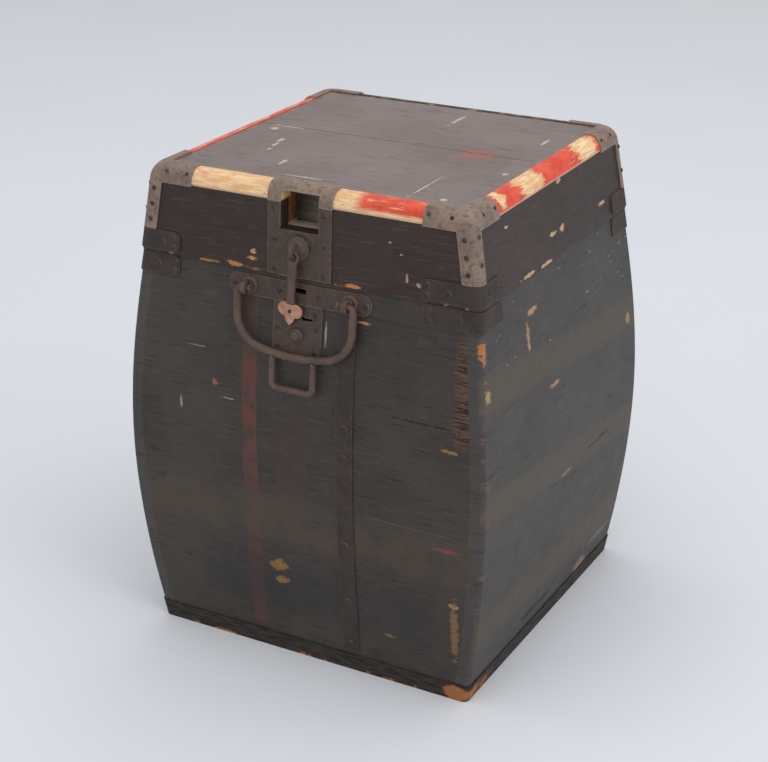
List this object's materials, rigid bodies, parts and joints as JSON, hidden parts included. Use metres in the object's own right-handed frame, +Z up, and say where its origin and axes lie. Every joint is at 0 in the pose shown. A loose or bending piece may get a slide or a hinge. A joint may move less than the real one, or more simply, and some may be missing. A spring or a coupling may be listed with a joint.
{
  "type": "donation box",
  "caption": "Barrel-sided wooden offertory box with a hinged lid, a money slot in the lid's front, a hanging hasp, a bail handle and iron straps.",
  "frame": {"origin": "centre of the base board's underside", "axes": "+Z up; the lid's slotted front faces -Y; +X is the right side seen from the front"},
  "size_m": [0.3658, 0.3529, 0.4564],
  "materials": {
    "case_lacquer": "worn dark lacquer",
    "lid_lacquer": "worn dark brown lacquer",
    "top_lacquer": "worn satin lacquer",
    "base_wood": "worn dark wood, bare edge",
    "vermilion": "worn red lacquer over bare wood",
    "bare_wood": "bare aged wood",
    "cap_iron": "brown rusted sheet iron",
    "plate_iron": "dark rusted sheet iron",
    "forged_iron": "forged iron, rust brown",
    "nail_iron": "hammered iron heads",
    "copper": "dull copper"
  },
  "bodies": {
    "case": {"back_panel": "case_lacquer", "bail_staple_left": "forged_iron", "bail_staple_right": "forged_iron", "base_board": "base_wood", "case_hinge_leaf_left": "plate_iron", "case_hinge_leaf_right": "plate_iron", "case_nails": "nail_iron", "front_panel": "case_lacquer", "handle_plate": "plate_iron", "knob": "forged_iron", "left_panel": "case_lacquer", "lock_case": "plate_iron", "lower_lock_plate": "plate_iron", "lower_strap_back_left": "plate_iron", "lower_strap_back_right": "plate_iron", "lower_strap_front_left": "plate_iron", "lower_strap_front_right": "plate_iron", "right_panel": "case_lacquer", "vertical_strap": "plate_iron"},
    "lid": {"bead_back": "lid_lacquer", "bead_front": "vermilion", "bead_left": "vermilion", "bead_right": "vermilion", "boss": "forged_iron", "corner_cap_back_left": "cap_iron", "corner_cap_back_right": "cap_iron", "corner_cap_front_left": "cap_iron", "corner_cap_front_right": "cap_iron", "hasp_eye": "forged_iron", "hinge_pin_left": "forged_iron", "hinge_pin_right": "forged_iron", "lid_back_panel": "lid_lacquer", "lid_front_panel": "lid_lacquer", "lid_hinge_leaf_left": "plate_iron", "lid_hinge_leaf_right": "plate_iron", "lid_left_panel": "lid_lacquer", "lid_nails": "nail_iron", "lid_right_panel": "lid_lacquer", "slot_baffle": "bare_wood", "slot_cap": "cap_iron", "slot_liner": "bare_wood", "top_board_back": "top_lacquer", "top_board_front": "top_lacquer", "upper_lock_plate": "plate_iron", "upper_strap_back_left": "plate_iron", "upper_strap_back_right": "plate_iron", "upper_strap_front_left": "plate_iron", "upper_strap_front_right": "plate_iron"},
    "hasp": {"hasp_bar": "forged_iron", "hasp_hoop": "forged_iron", "hasp_trefoil": "copper", "hasp_rivet": "forged_iron"},
    "bail": {"bail_handle": "forged_iron", "bail_loop": "forged_iron"},
    "bolt": {"lock_bolt": "plate_iron"}
  },
  "joints": [
    {"name": "lid_hinge", "type": "hinge", "parent": "case", "child": "lid", "pos_m": [0, 0.1633, 0.375], "axis": [-1, 0, 0], "range_deg": [0, 105]},
    {"name": "hasp_swing", "type": "hinge", "parent": "lid", "child": "hasp", "pos_m": [-0.003, -0.16677, 0.4025], "axis": [-1, 0, 0], "range_deg": [0, 130]},
    {"name": "bail_swing", "type": "hinge", "parent": "case", "child": "bail", "pos_m": [-0.003, -0.1676, 0.3616], "axis": [-1, 0, 0], "range_deg": [0, 150]},
    {"name": "bolt_slide", "type": "slide", "parent": "case", "child": "bolt", "axis": [-1, 0, 0], "range_m": [0, 0.016]}
  ]
}
